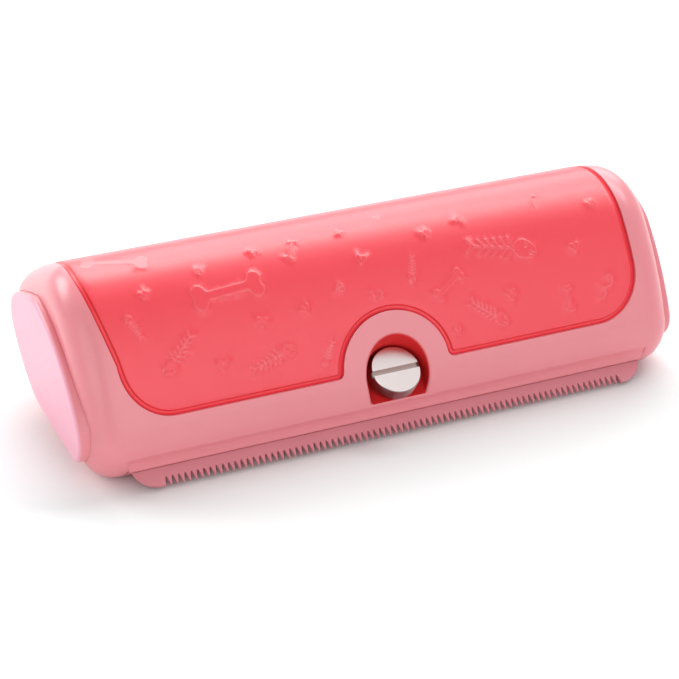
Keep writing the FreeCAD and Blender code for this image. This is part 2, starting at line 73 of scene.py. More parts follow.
def srgb(red: int, green: int, blue: int) -> Colour:
    """Turns a colour as it is seen on a screen into the linear values that a shader takes.

    Args:
        red: Red, 0 to 255.
        green: Green, 0 to 255.
        blue: Blue, 0 to 255.

    Returns:
        The three linear values, 0 to 1.
    """

    def linear(level: int) -> float:
        """One of the three levels, made linear."""
        share = level / 255
        return share / 12.92 if share <= 0.04045 else ((share + 0.055) / 1.055) ** 2.4

    return linear(red), linear(green), linear(blue)


class Signal:
    """A number that runs through a shader; arithmetic on it adds Math nodes."""

    def __init__(self, graph: "Graph", socket: Socket) -> None:
        """Keeps the graph that the number belongs to and the socket that it comes from."""
        self.graph = graph
        self.socket = socket

    def _math(self, operation: str, first: "Term", second: "Term" = 0.0) -> "Signal":
        """Adds one Math node with an operation and its numbers."""
        node = self.graph.node("ShaderNodeMath", {"operation": operation}, {0: first, 1: second})
        return Signal(self.graph, node.outputs[0])

    def __add__(self, other: "Term") -> "Signal":
        """Sum."""
        return self._math("ADD", self, other)

    def __radd__(self, other: float) -> "Signal":
        """Sum with a plain number in front."""
        return self._math("ADD", other, self)

    def __sub__(self, other: "Term") -> "Signal":
        """Difference."""
        return self._math("SUBTRACT", self, other)

    def __rsub__(self, other: float) -> "Signal":
        """Difference from a plain number."""
        return self._math("SUBTRACT", other, self)

    def __mul__(self, other: "Term") -> "Signal":
        """Product."""
        return self._math("MULTIPLY", self, other)

    def __rmul__(self, other: float) -> "Signal":
        """Product with a plain number in front."""
        return self._math("MULTIPLY", other, self)

    def __lt__(self, other: "Term") -> "Signal":
        """1 where this is less than the other, and 0 elsewhere."""
        return self._math("LESS_THAN", self, other)

    def __gt__(self, other: "Term") -> "Signal":
        """1 where this is greater than the other, and 0 elsewhere."""
        return self._math("GREATER_THAN", self, other)

    def sine(self) -> "Signal":
        """Sine of the number, in radians."""
        return self._math("SINE", self)

    def size(self) -> "Signal":
        """The number without its sign."""
        return self._math("ABSOLUTE", self)


Term = Signal | float


class Graph:
    """The node graph of one material, with a Principled shader at its end."""

    def __init__(self, name: str) -> None:
        """Starts a material with an empty graph and its shader.

        Args:
            name: The material's name.
        """
        self.material = bpy.data.materials.new(name)
        self.material.use_nodes = True
        self.tree = self.material.node_tree
        self.tree.nodes.clear()
        self.shader = self.node("ShaderNodeBsdfPrincipled")
        self.output = self.node("ShaderNodeOutputMaterial")
        self.tree.links.new(self.shader.outputs["BSDF"], self.output.inputs["Surface"])

    def node(self, kind: str, settings: dict | None = None, values: dict | None = None) -> bpy.types.Node:
        """Adds any node.

        Args:
            kind: The node's type.
            settings: Its own settings, which are made first.
            values: A number, a colour or a link for each socket, by name or by number.

        Returns:
            The new node.
        """
        made = self.tree.nodes.new(kind)
        for name, setting in (settings or {}).items():
            setattr(made, name, setting)
        for name, value in (values or {}).items():
            self._feed(made.inputs[name], value)
        return made

    def _feed(self, socket: Socket, value: object) -> None:
        """Gives a socket its value or its link.

        Args:
            socket: The socket.
            value: A plain value, a number that varies, or another socket.
        """
        source = value.socket if isinstance(value, Signal) else value
        if isinstance(source, Socket):
            self.tree.links.new(source, socket)
        else:
            socket.default_value = source

    def place(self) -> Socket:
        """Place on the piece, in metres, which moves with the piece."""
        return self.node("ShaderNodeTexCoord").outputs["Object"]

    def reach(self) -> Signal:
        """Distance from the middle of the bar's length, in metres."""
        parts = self.node("ShaderNodeSeparateXYZ", None, {"Vector": self.place()})
        return Signal(self, parts.outputs["X"]).size()

    def uneven(self, level: float, spread: float, grain: float) -> Signal:
        """A level that wanders over the surface by a spread, in patches of a size in metres."""
        return level + spread * (self.noise(grain) - 0.5)

    def measured(self, name: str) -> Signal:
        """A number that the mesh holds for each point, by its name."""
        return Signal(self, self.node("ShaderNodeAttribute", {"attribute_name": name}).outputs["Fac"])

    def noise(self, grain: float, detail: float = 2.0) -> Signal:
        """Soft random pattern from 0 to 1, with a grain in metres and some finer layers."""
        values = {"Vector": self.place(), "Scale": 1 / grain, "Detail": detail}
        return Signal(self, self.node("ShaderNodeTexNoise", None, values).outputs["Fac"])

    def ramp(self, number: Signal, low: float, high: float) -> Signal:
        """Smooth step from 0 to 1 while a number goes from low to high.

        Args:
            number: The number.
            low: Where the step starts.
            high: Where it ends.

        Returns:
            The step's height.
        """
        values = {"Value": number, "From Min": low, "From Max": high}
        made = self.node("ShaderNodeMapRange", {"interpolation_type": "SMOOTHSTEP"}, values)
        return Signal(self, made.outputs["Result"])

    def blend(self, share: Signal, start: object, end: object) -> Socket:
        """Mixes two colours.

        Args:
            share: Share of the second colour.
            start: The first colour, or its socket.
            end: The second colour, or its socket.

        Returns:
            The mixed colour's socket.
        """
        first, last = ((*tone, 1.0) if isinstance(tone, tuple) else tone for tone in (start, end))
        values = {"Factor": share, MIX_FIRST: first, MIX_SECOND: last}
        return self.node("ShaderNodeMix", {"data_type": "RGBA"}, values).outputs[MIX_RESULT]

    def vector(self, operation: str, first: object, second: object, result: str = "Vector") -> object:
        """Adds one Vector Math node and gives its result, Vector or Value."""
        made = self.node("ShaderNodeVectorMath", {"operation": operation}, {0: first, 1: second})
        return made.outputs[result]

    def bump(self, height: Signal, depth: float) -> None:
        """Puts a fine relief on the surface, from 0 to 1 times a depth in metres."""
        made = self.node("ShaderNodeBump", None, {"Height": height, "Distance": depth})
        self.wire("Normal", made.outputs["Normal"])

    def wire(self, name: str, value: object) -> None:
        """Feeds one of the shader's sockets, by its name."""
        self._feed(self.shader.inputs[name], value)


@dataclass(frozen=True)
class Axis:
    """The thumb screw's axis: a point on it and the way that the screw comes out."""

    point: Vector
    outward: Vector

    def radius_and_height(self, graph: Graph) -> tuple[Signal, Signal]:
        """Adds the nodes that measure a place against the axis.

        Args:
            graph: The graph that they go into.

        Returns:
            Distance from the axis, and height along it from its point, in metres.
        """
        arm = graph.vector("SUBTRACT", graph.place(), tuple(self.point))
        height = Signal(graph, graph.vector("DOT_PRODUCT", arm, tuple(self.outward), "Value"))
        across = graph.vector("CROSS_PRODUCT", arm, tuple(self.outward))
        radius = Signal(graph, graph.vector("LENGTH", across, (0, 0, 0), "Value"))
        return radius, height


class Finish:
    """A surface finish that can be made as a material."""

    def wire_into(self, graph: Graph) -> None:
        """Wires the finish into a material's graph."""
        raise NotImplementedError

    def material(self, name: str) -> bpy.types.Material:
        """Builds the finish.

        Args:
            name: The material's name.

        Returns:
            The material.
        """
        graph = Graph(name)
        self.wire_into(graph)
        return graph.material


@dataclass(frozen=True)
class MouldedPlastic(Finish):
    """Smooth coloured moulding with a faint flow pattern and a fine satin grain."""

    colour: Colour
    shade: Colour
    roughness: float = 0.3
    roughness_spread: float = 0.08
    roughness_grain: float = 3 * MM
    flow_grain: float = 18 * MM
    satin_grain: float = 0.35 * MM
    satin_depth: float = 0.004 * MM

    def tone(self, graph: Graph) -> Socket:
        """The moulding's colour with its flow pattern."""
        return graph.blend(graph.noise(self.flow_grain), self.colour, self.shade)

    def wire_into(self, graph: Graph) -> None:
        """Wires the finish.

        Args:
            graph: The material's graph.
        """
        graph.wire("Base Color", self.tone(graph))
        graph.wire("Roughness", graph.uneven(self.roughness, self.roughness_spread, self.roughness_grain))
        graph.bump(graph.noise(self.satin_grain), self.satin_depth)


@dataclass(frozen=True)
class WellPlastic(Finish):
    """The shell's plastic: a red lining colour in the screw's pocket, deepened with painted shade, and a
    painted gap shadow over the blade.
    """

    plastic: MouldedPlastic
    # Deep red of the pocket's lining: partly its own colour, partly painted shade of the pocket.
    pocket_red_and_shade: Colour
    axis: Axis
    radius: float
    floor: float
    # Colour of the painted shadow in the gap between the lip and the blade.
    gap_shadow: Colour
    softness: float = 0.5 * MM
    dullness: float = 0.5
    # Where the painted gap shadow lies, measured against the screw's axis and the middle of the bar.
    gap_shadow_height: float = -4.7 * MM
    gap_shadow_along: float = -5.2 * MM
    gap_shadow_half: float = 65 * MM

    def wire_into(self, graph: Graph) -> None:
        """Wires the finish.

        Args:
            graph: The material's graph.
        """
        self.plastic.wire_into(graph)
        radius, height = self.axis.radius_and_height(graph)
        # Painted shade: the pocket's wall, above its floor, is coloured a darkened deep red.
        inside = (1 - graph.ramp(radius, self.radius, self.radius + self.softness)) * (height > self.floor)
        toned = graph.blend(inside, self.plastic.tone(graph), self.pocket_red_and_shade)
        arm = graph.vector("SUBTRACT", graph.place(), tuple(self.axis.point))
        up_slope = self.axis.outward.cross(Vector((1, 0, 0)))
        along = Signal(graph, graph.vector("DOT_PRODUCT", arm, tuple(up_slope), "Value"))
        # Painted shadow: a dark band over the blade, just under the lip, where the gap's shade falls.
        gap_shadow = (height < self.gap_shadow_height) * (along < self.gap_shadow_along) * (graph.reach() < self.gap_shadow_half)
        graph.wire("Base Color", graph.blend(gap_shadow, toned, self.gap_shadow))
        graph.wire("Roughness", self.plastic.roughness + self.dullness * inside)


@dataclass(frozen=True)
class PlatePlastic(Finish):
    """The shell's plastic with painted light on the outermost flat: a paler, cooler face where the light
    falls.
    """

    plastic: MouldedPlastic
    # Colour of the painted light on the face: paler and cooler than the plastic.
    face: Colour
    painted_light_start: float
    painted_light_end: float

    def wire_into(self, graph: Graph) -> None:
        """Wires the finish.

        Args:
            graph: The material's graph.
        """
        self.plastic.wire_into(graph)
        # Painted light: past this reach from the middle, the colour turns to the paler face colour.
        share = graph.ramp(graph.reach(), self.painted_light_start, self.painted_light_end)
        graph.wire("Base Color", graph.blend(share, self.plastic.tone(graph), self.face))


@dataclass(frozen=True)
class GripRubber(Finish):
    """Soft coral rubber with a satin bloom; painted shade on its rim, a painted shadow beside it, painted
    ornament highlights.
    """

    colour: Colour
    bloom: Colour
    # Deeper red of the sunken rim: painted shade with red bounce light in the groove.
    rim: Colour
    # Colour of the painted shadow along the rim's wall.
    crease: Colour
    # Colour of the painted highlight along the ornaments' raised edges.
    edge_highlight: Colour
    rim_width: float
    edge_highlight_share: float = 0.3
    bloom_grain: float = 12 * MM
    rim_shade_blend: float = 0.12 * MM
    # Width of the painted shadow below and above the rim's edge.
    crease_shadow_start: float = 0.15 * MM
    crease_shadow_end: float = 0.45 * MM
    roughness: float = 0.36
    roughness_spread: float = 0.1
    roughness_grain: float = 2 * MM
    gloss: float = 0.65
    skin_grain: float = 0.25 * MM
    skin_depth: float = 0.006 * MM

    def wire_into(self, graph: Graph) -> None:
        """Wires the finish.

        Args:
            graph: The material's graph.
        """
        edge = graph.measured(EDGE_DISTANCE)
        plain = graph.blend(graph.noise(self.bloom_grain), self.colour, self.bloom)
        # Painted highlight: the band along each ornament's edge turns towards a pale pink.
        face = graph.blend(graph.measured(MOTIF_HIGHLIGHT) * self.edge_highlight_share, plain, self.edge_highlight)
        # Painted shade: the sunken rim is a deeper red, and a painted shadow lies along its wall.
        past_rim = graph.ramp(edge, self.rim_width, self.rim_width + self.rim_shade_blend)
        toned = graph.blend(past_rim, self.rim, face)
        start = graph.ramp(edge, self.rim_width - self.crease_shadow_start, self.rim_width)
        end = graph.ramp(edge, self.rim_width + self.crease_shadow_start, self.rim_width + self.crease_shadow_end)
        graph.wire("Base Color", graph.blend(start * (1 - end), toned, self.crease))
        graph.wire("Roughness", graph.uneven(self.roughness, self.roughness_spread, self.roughness_grain))
        graph.wire("Specular IOR Level", self.gloss)
        graph.bump(graph.noise(self.skin_grain), self.skin_depth)


@dataclass(frozen=True)
class TurnedSteel(Finish):
    """Bright steel with the fine rings that turning leaves round an axis."""

    axis: Axis
    colour: Colour
    dull_share: float = 0.86
    dull_grain: float = 1.5 * MM
    roughness: float = 0.2
    roughness_spread: float = 0.06
    roughness_grain: float = 0.8 * MM
    ring_pitch: float = 0.18 * MM
    ring_depth: float = 0.004 * MM

    def wire_into(self, graph: Graph) -> None:
        """Wires the finish.

        Args:
            graph: The material's graph.
        """
        radius, _ = self.axis.radius_and_height(graph)
        rings = 0.5 + 0.5 * (radius * (2 * math.pi / self.ring_pitch)).sine()
        dull = tuple(self.dull_share * level for level in self.colour)
        graph.wire("Base Color", graph.blend(graph.noise(self.dull_grain), self.colour, dull))
        graph.wire("Metallic", 1.0)
        graph.wire("Roughness", self.roughness + self.roughness_spread * graph.noise(self.roughness_grain))
        graph.bump(rings, self.ring_depth)


@dataclass(frozen=True)
class HeadSteel(Finish):
    """Turned steel with painted shade in its slot and in its knurl's grooves."""

    steel: TurnedSteel
    # Colour of the painted shade in the knurl's grooves.
    groove_shade: Colour
    # Colour of the painted shade on the slot's floor.
    slot: Colour
    face_start: float = 4.38 * MM
    face_end: float = 4.48 * MM
    slot_radius: float = 5.69 * MM
    groove_radius: float = 5.79 * MM
    crest_radius: float = 5.97 * MM

    def wire_into(self, graph: Graph) -> None:
        """Wires the finish.

        Args:
            graph: The material's graph.
        """
        self.steel.wire_into(graph)
        radius, height = self.steel.axis.radius_and_height(graph)
        # Painted shade: the knurl's grooves darken, and places in the slot take the slot's darker colour.
        crest = graph.ramp(radius, self.groove_radius, self.crest_radius)
        face = graph.ramp(height, self.face_start, self.face_end)
        knurl = graph.blend(crest, self.groove_shade, self.steel.colour)
        side = graph.blend(radius < self.slot_radius, knurl, self.slot)
        graph.wire("Base Color", graph.blend(face, side, self.steel.colour))


@dataclass(frozen=True)
class PaintedSteel(Finish):
    """Thin satin paint on a flat steel blade."""

    colour: Colour
    shade: Colour
    tone_grain: float = 9 * MM
    roughness: float = 0.38
    roughness_spread: float = 0.14
    roughness_grain: float = 1.2 * MM
    paint_grain: float = 0.3 * MM
    paint_layers: float = 3.0
    paint_depth: float = 0.008 * MM

    def wire_into(self, graph: Graph) -> None:
        """Wires the finish.

        Args:
            graph: The material's graph.
        """
        graph.wire("Base Color", graph.blend(graph.noise(self.tone_grain), self.colour, self.shade))
        graph.wire("Roughness", graph.uneven(self.roughness, self.roughness_spread, self.roughness_grain))
        graph.bump(graph.noise(self.paint_grain, self.paint_layers), self.paint_depth)


@dataclass(frozen=True)
class Arc:
    """One arc of the bar's section, walked clockwise as seen from the right end."""

    y: float
    z: float
    radius: float
    start: float
    end: float

    @property
    def length(self) -> float:
        """Length of the arc."""
        return self.radius * (self.start - self.end)


@dataclass
class Section:
    """The bar's rounded three-cornered section, standing on its flat base."""

    nose_radius: float = 11.1 * MM
    apex_radius: float = 18.8 * MM
    back_radius: float = 12.1 * MM
    front_arc: float = 71 * MM
    top_arc: float = 197 * MM
    nose_to_apex: float = 16.56 * MM
    nose_to_back: float = 41.1 * MM
    apex_height: float = 25.13 * MM
    back_height: float = 20.6 * MM
    arcs: list[Arc] = field(default_factory=list)

    def __post_init__(self) -> None:
        """Works out the arcs from the nose, over the top, to the lower back."""
        back_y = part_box("body_shell")[1][1] - self.back_radius
        nose = (back_y - self.nose_to_back, self.nose_radius)
        apex = (nose[0] + self.nose_to_apex, self.apex_height)
        back = (back_y, self.back_height)
        front = self._around(nose, self.nose_radius, apex, self.apex_radius, self.front_arc)
        top = self._around(apex, self.apex_radius, back, self.back_radius, self.top_arc)
        low = self._direction(front, nose) % (2 * math.pi)
        high = self._direction(front, apex) % (2 * math.pi)
        front_side = self._direction(top, apex)
        rear_side = self._direction(top, back)
        self.arcs = [
            Arc(*nose, self.nose_radius, 1.5 * math.pi, low),
            Arc(*front, self.front_arc, low, high),
            Arc(*apex, self.apex_radius, high, front_side),
            Arc(*top, self.top_arc, front_side, rear_side),
            Arc(*back, self.back_radius, rear_side, -math.pi / 4),
        ]

    @staticmethod
    def _direction(start: Spot, end: Spot) -> float:
        """Direction from one point of the section to another, in radians."""
        return math.atan2(end[1] - start[1], end[0] - start[0])

    @staticmethod
    def _around(first: Spot, first_radius: float, last: Spot, last_radius: float, radius: float) -> Spot:
        """Centre of the large circle that touches two small circles around their outside.

        Args:
            first: Centre of the first small circle.
            first_radius: Its radius.
            last: Centre of the second small circle.
            last_radius: Its radius.
            radius: Radius of the large circle.

        Returns:
            The large circle's centre.
        """
        dy, dz = last[0] - first[0], last[1] - first[1]
        distance = math.hypot(dy, dz)
        along = ((radius - first_radius) ** 2 - (radius - last_radius) ** 2 + distance**2) / (2 * distance)
        across = math.sqrt((radius - first_radius) ** 2 - along**2)
        y = first[0] + (dy * along + dz * across) / distance
        z = first[1] + (dz * along - dy * across) / distance
        return y, z

    def surface(self, walk: Array, lift: Array | float) -> tuple[Array, Array]:
        """Points of the section.

        Args:
            walk: Distances walked along the outline from the front of the flat base.
            lift: Distance outwards from the surface at each.

        Returns:
            Their y and their z.
        """
        y, z = np.zeros_like(walk), np.zeros_like(walk)
        lift = np.broadcast_to(lift, walk.shape)
        start = 0.0
        for number, arc in enumerate(self.arcs):
            last = number == len(self.arcs) - 1
            here = (walk >= start) & ((walk < start + arc.length) | last)
            turn = arc.start - (walk[here] - start) / arc.radius
            y[here] = arc.y + (arc.radius + lift[here]) * np.cos(turn)
            z[here] = arc.z + (arc.radius + lift[here]) * np.sin(turn)
            start += arc.length
        return y, z

    def walk_at(self, height: float, rear: bool) -> float:
        """How far along the outline a height is reached.

        Args:
            height: The height above the base.
            rear: Whether the place at the back is meant, not the one at the front.

        Returns:
            The distance walked to that place.
        """
        number = REAR_CORNER if rear else FRONT_FACE
        arc = self.arcs[number]
        before = sum(earlier.length for earlier in self.arcs[:number])
        slope = math.asin((height - arc.z) / arc.radius)
        turn = slope if rear else math.pi - slope
        return before + arc.radius * (arc.start - turn)


def joined(parts: Iterable[Array], softness: float = 0.0) -> Array:
    """Joins shapes into one.

    Args:
        parts: Distances inside each shape.
        softness: Width of the fillet where they meet.

    Returns:
        Distance inside the joined shape.
    """
    whole: Array | None = None
    for part in parts:
        if whole is None:
            whole = part
        elif softness:
            share = np.clip(0.5 + 0.5 * (part - whole) / softness, 0, 1)
            whole = whole + (part - whole) * share + softness * share * (1 - share)
        else:
            whole = np.maximum(whole, part)
    assert whole is not None
    return whole


@dataclass(frozen=True)
class Plane:
    """Places across and up an ornament of length 1; each shape gives the distance inside it."""

    u: Array
    v: Array

    def disc(self, middle: Spot, radius: float) -> Array:
        """Disc round a middle."""
        return radius - np.hypot(self.u - middle[0], self.v - middle[1])

    def stroke(self, start: Spot, end: Spot, radius: float) -> Array:
        """Straight stroke with round ends.

        Args:
            start: One end of the stroke.
            end: Its other end.
            radius: Half its width.

        Returns:
            The distance inside, negative outside.
        """
        du, dv = end[0] - start[0], end[1] - start[1]
        share = np.clip(((self.u - start[0]) * du + (self.v - start[1]) * dv) / (du * du + dv * dv), 0, 1)
        return radius - np.hypot(self.u - start[0] - share * du, self.v - start[1] - share * dv)

    def trail(self, points: list[Spot], radius: float) -> Array:
        """Stroke bent through points, where radius is half its width."""
        return joined(self.stroke(a, b, radius) for a, b in zip(points, points[1:]))

    def bone(self) -> Array:
        """Bone with two knobs on each end.

        Returns:
            The distance inside, negative outside.
        """
        shaft = self.stroke((-0.36, 0), (0.36, 0), 0.065)
        knobs = [self.disc((side * 0.4, up * 0.085), 0.098) for side in (-1, 1) for up in (-1, 1)]
        return joined([shaft, *knobs], 0.07)

    def fishbone(self) -> Array:
        """Fish skeleton with its head towards +u.

        Returns:
            The distance inside, negative outside.
        """
        spine = self.stroke((-0.42, 0), (0.2, 0), 0.018)
        ribs = []
        for number in range(5):
            root = -0.26 + 0.105 * number
            reach = 0.085 + 0.012 * number
            for up in (-1, 1):
                ribs.append(self.stroke((root, 0), (root - 0.075, up * reach), 0.02))
        tail = [self.stroke((-0.4, 0), (-0.49, up * 0.085), 0.022) for up in (-1, 1)]
        head = joined([self.disc((0.3, 0.0), 0.135), self.disc((0.4, -0.02), 0.095)], 0.05)
        eye = self.disc((0.34, 0.045), 0.022)
        mouth = self.stroke((0.52, -0.075), (0.4, -0.05), 0.014)
        head = np.minimum(head, -np.maximum(eye, mouth))
        return joined([spine, *ribs, *tail, head])

    def heart(self) -> Array:
        """Heart about 1 wide.

        Returns:
            The distance inside, negative outside.
        """
        lobes = [self.disc((side * 0.235, 0.14), 0.27) for side in (-1, 1)]
        sides = [self.stroke((side * 0.22, 0.1), (0, -0.3), 0.17) for side in (-1, 1)]
        return joined([*lobes, *sides], 0.04)

    def swirl(self) -> Array:
        """Small tight curl of about one and a half turns.

        Returns:
            The distance inside, negative outside.
        """
        points = []
        for number in range(15):
            turn = math.radians(38 * number)
            reach = 0.1 + 0.028 * number
            points.append((reach * math.cos(turn) * 0.9, reach * math.sin(turn)))
        return self.trail(points, 0.085)

    def strokes(self) -> Array:
        """Two short bent strokes beside each other.

        Returns:
            The distance inside, negative outside.
        """
        left = self.trail([(-0.42, 0.3), (-0.36, -0.05), (-0.2, -0.2)], 0.085)
        right = self.trail([(0.16, 0.28), (0.34, 0.05), (0.3, -0.22)], 0.085)
        return joined([left, right])

    def curl(self) -> Array:
        """Loose tail with a hook at its end.

        Returns:
            The distance inside, negative outside.
        """
        tail = [(-0.5, -0.26), (-0.3, -0.3), (-0.12, -0.16), (-0.02, 0.02), (-0.16, 0.1), (-0.22, -0.04)]
        hook = [(-0.02, 0.02), (0.16, -0.06), (0.34, 0.02), (0.44, 0.2), (0.38, 0.38), (0.24, 0.36)]
        return joined([self.trail(tail, 0.045), self.trail(hook, 0.045)])


class Motif(Enum):
    """The small ornaments on the grip cover, each with its shape."""

    BONE = member(Plane.bone)
    FISHBONE = member(Plane.fishbone)
    HEART = member(Plane.heart)
    SWIRL = member(Plane.swirl)
    STROKES = member(Plane.strokes)
    CURL = member(Plane.curl)


@dataclass(frozen=True)
class Stamp:
    """One ornament on the cover: its kind, middle (along, walk), length and turn."""

    kind: Motif
    along: float
    walk: float
    length: float
    turn: float = 0.0

    def depth(self, along: Array, walk: Array) -> Array:
        """How far inside the ornament's outline places are.

        Args:
            along: Their places along the bar.
            walk: Their distances walked round the section.

        Returns:
            The distance inside, in metres, negative outside.
        """
        turn = math.radians(self.turn)
        dx, dy = along - self.along, walk - self.walk
        u = (dx * math.cos(turn) + dy * math.sin(turn)) / self.length
        v = (dy * math.cos(turn) - dx * math.sin(turn)) / self.length
        return self.kind.value(Plane(u, v)) * self.length


# The ornaments in front, as rows of place along the bar, distance round the section and length
# in millimetres, and turn in degrees.
FRONT_ORNAMENTS = [
    (
        Motif.HEART,
        [
            (-55.6, 51.2, 2.6, 10), (-30.3, 39.7, 3.0, -14), (-19.5, 40.7, 2.8, 25),
            (-41.4, 32.0, 3.3, 0), (-27.4, 56.9, 2.6, -20), (14.3, 52.9, 2.8, 12),
            (-3.0, 49.6, 2.8, -20), (58.3, 52.3, 2.6, 15), (50.6, 42.5, 3.0, 8),
            (31.6, 34.5, 3.2, -5), (16.2, 28.6, 2.8, 28), (5.5, 60.7, 2.4, 0),
            (23.7, 55.0, 2.6, 160), (-5.3, 58.2, 2.6, 90),
        ],
    ),
    (
        Motif.BONE,
        [
            (-36.3, 48.3, 17.2, 4), (-58.5, 63.0, 15.5, -20), (16.6, 39.6, 9.4, 33),
            (46.3, 30.7, 6.6, 90), (-18.6, 55.6, 6.8, 60),
        ],
    ),
    (
        Motif.FISHBONE,
        [
            (-59.6, 44.4, 6.4, 112), (-50.9, 36.4, 11.6, 226), (-29.3, 31.1, 11.8, 17),
            (-16.1, 29.5, 6.6, 239), (8.5, 44.8, 6.8, 255), (32.1, 45.8, 18.0, -13),
            (44.9, 56.5, 4.6, 70), (25.3, 31.4, 11.2, -38),
        ],
    ),
    (Motif.SWIRL, [(-9.8, 43.8, 2.6, 20)]),
    (Motif.STROKES, [(-1.3, 40.7, 3.2, 0)]),
    (Motif.CURL, [(56.6, 31.6, 6.0, 20)]),
    (Motif.SWIRL, [(-41.4, 54.6, 2.2, 100)]),
]


@dataclass
class GripCover:
    """The soft cover let into the back of the bar, with its rim, crease and raised ornaments."""

    section: Section
    rubber: GripRubber
    thickness: float = 1.6 * MM
    edge_height: float = 16.7 * MM
    half_length: float = 65.3 * MM
    left_flare: float = 4.0 * MM
    right_flare: float = 0.2 * MM
    corner: float = 11.8 * MM
    flare_start: float = 2.5 * MM
    body_end: float = 74.2 * MM
    end_rounding: float = 7.5 * MM
    notch: float = 13.4 * MM
    notch_foot: float = 1.6 * MM
    notch_tilt: float = 25.0
    rim_width: float = 0.9 * MM
    rim_drop: float = 0.45 * MM
    rim_wall: float = 0.12 * MM
    rim_rounding: float = 0.4 * MM
    rounding_rings: tuple[float, ...] = (0.0, 0.08, 0.3, 0.6, 1.05)
    ring_clearance: float = 0.97
    relief: float = 0.24 * MM
    relief_edge: float = 0.36 * MM
    relief_start: float = 0.25
    faint_from: float = 58.0 * MM
    faint_to: float = 100.0 * MM
    faint_share: float = 0.4
    rear_highest: float = 42.0 * MM
    walk_steps: int = 1200
    edge_step: float = 0.45 * MM
    edge_parts: int = 4
    coarse: float = 1.5 * MM
    coarse_margin: float = 0.4 * MM
    bare_below: float = -0.9 * MM
    bare_above: float = 0.8 * MM
    fine: float = 0.3 * MM
    fine_margin: float = 0.2 * MM
    fine_from: float = -0.25 * MM
    fine_to: float = 0.75 * MM
    patch_half: float = 0.62
    merging: float = 1e-7

    def front_stamps(self) -> list[Stamp]:
        """The ornaments on the side that faces the blade.

        Returns:
            The ornaments, placed as on the real cover.
        """
        return [
            Stamp(kind, along * MM, walk * MM, length * MM, turn)
            for kind, rows in FRONT_ORNAMENTS
            for along, walk, length, turn in rows
        ]

    def stamps(self) -> list[Stamp]:
        """Places the ornaments on both sides.

        Returns:
            Those in front, and the lower ones once more, turned round on the back.
        """
        front = self.front_stamps()
        middle = sum(self.edge_walks()) / 2
        low = [s for s in front if s.walk < self.rear_highest]
        rear = [Stamp(s.kind, -s.along, 2 * middle - s.walk, s.length, s.turn + 180) for s in low]
        return front + rear

    def edge_walks(self) -> tuple[float, float]:
        """Distances walked round the section to the cover's front edge and its rear edge."""
        front, rear = (self.section.walk_at(self.edge_height, back) for back in (False, True))
        return front, rear

    def half_width(self, height: Array, flare: float) -> Array:
        """Half the cover's length at each height, with its rounded lower corners.

        Args:
            height: Heights above the base.
            flare: How much longer that half is at the top.

        Returns:
            Distance from the middle of the bar to the cover's end at each height.
        """
        shoulder = self.edge_height + self.corner
        top = self.section.apex_height + self.section.apex_radius
        drop = np.clip(shoulder - height, 0, self.corner)
        curve = self.half_length - self.corner + np.sqrt(self.corner**2 - drop**2)
        above = height - shoulder
        soft = self.flare_start
        rise = np.where(above < soft, (np.clip(above, -soft, soft) + soft) ** 2 / (4 * soft), above)
        return curve + flare * rise / (top - shoulder)

    def outline(self) -> Array:
        """Draws the cover's edge.

        Returns:
            Closed points (along, walk), anticlockwise and evenly spaced.
        """
        front, rear = self.edge_walks()
        walk = np.linspace(front, rear, self.walk_steps)
        y, z = self.section.surface(walk, 0.0)
        right = np.stack([self.half_width(z, self.right_flare), walk], axis=1)
        left = np.stack([-self.half_width(z, self.left_flare), walk], axis=1)[::-1]
        tilt = math.radians(self.notch_tilt)
        rise = (y - y[0]) * math.sin(tilt) + (z - z[0]) * math.cos(tilt)
        inside = (rise < self.notch) & (walk < (front + rear) / 2)
        reach = np.sqrt(self.notch**2 - rise[inside] ** 2)
        foot_x = math.sqrt((self.notch + self.notch_foot) ** 2 - self.notch_foot**2)
        foot_top = self.notch_foot * self.notch / (self.notch + self.notch_foot)
        fall = np.clip(self.notch_foot - rise[inside], 0, self.notch_foot)
        reach = np.where(rise[inside] < foot_top, foot_x - np.sqrt(self.notch_foot**2 - fall**2), reach)
        up = np.stack([-reach, walk[inside]], axis=1)
        down = up[::-1] * (-1, 1)
        loop = np.concatenate([up, down, right, left])
        return self._spaced(loop, self.edge_step)

    @staticmethod
    def _spaced(loop: Array, step: float, shortest: float = 1e-9, sharpest: float = 0.9) -> Array:
        """Points at an even spacing along a closed line.

        Args:
            loop: Its corner points.
            step: The spacing.
            shortest: Length under which a stretch counts as none.
            sharpest: Cosine of the bend past which a corner is kept as a point.

        Returns:
            The spaced points, with sharp corners kept.
        """
        closed = np.concatenate([loop, loop[:1]])
        length = np.hypot(*np.diff(closed, axis=0).T)
        real = length > shortest
        closed, length = closed[np.concatenate([[True], real])], length[real]
        way = np.concatenate([[0], np.cumsum(length)])
        heading = np.diff(closed, axis=0) / length[:, None]
        bend = np.einsum("ij,ij->i", heading, np.roll(heading, 1, axis=0))
        corners = [way[i] for i in range(len(bend)) if bend[i] < sharpest]
        stops = sorted(set([0.0, way[-1], *corners]))
        places = []
        for a, b in zip(stops, stops[1:]):
            count = max(2, round((b - a) / step))
            places.extend(a + (b - a) * k / count for k in range(count))
        return np.stack([np.interp(places, way, closed[:, k]) for k in (0, 1)], axis=1)

    def edge_profile(self, inside: Array) -> Array:
        """Height of the rim and the crease.

        Args:
            inside: Distances from the cover's edge.

        Returns:
            Height against the cover's face at each, zero or less.
        """
        past = np.clip(inside - self.rim_width - self.rim_wall, 0, self.rim_rounding)
        round_off = self.rim_rounding - np.sqrt(self.rim_rounding**2 - (self.rim_rounding - past) ** 2)
        share = np.clip((inside - self.rim_width) / self.rim_wall, 0, 1)
        return -self.rim_drop + share * (self.rim_drop - round_off)

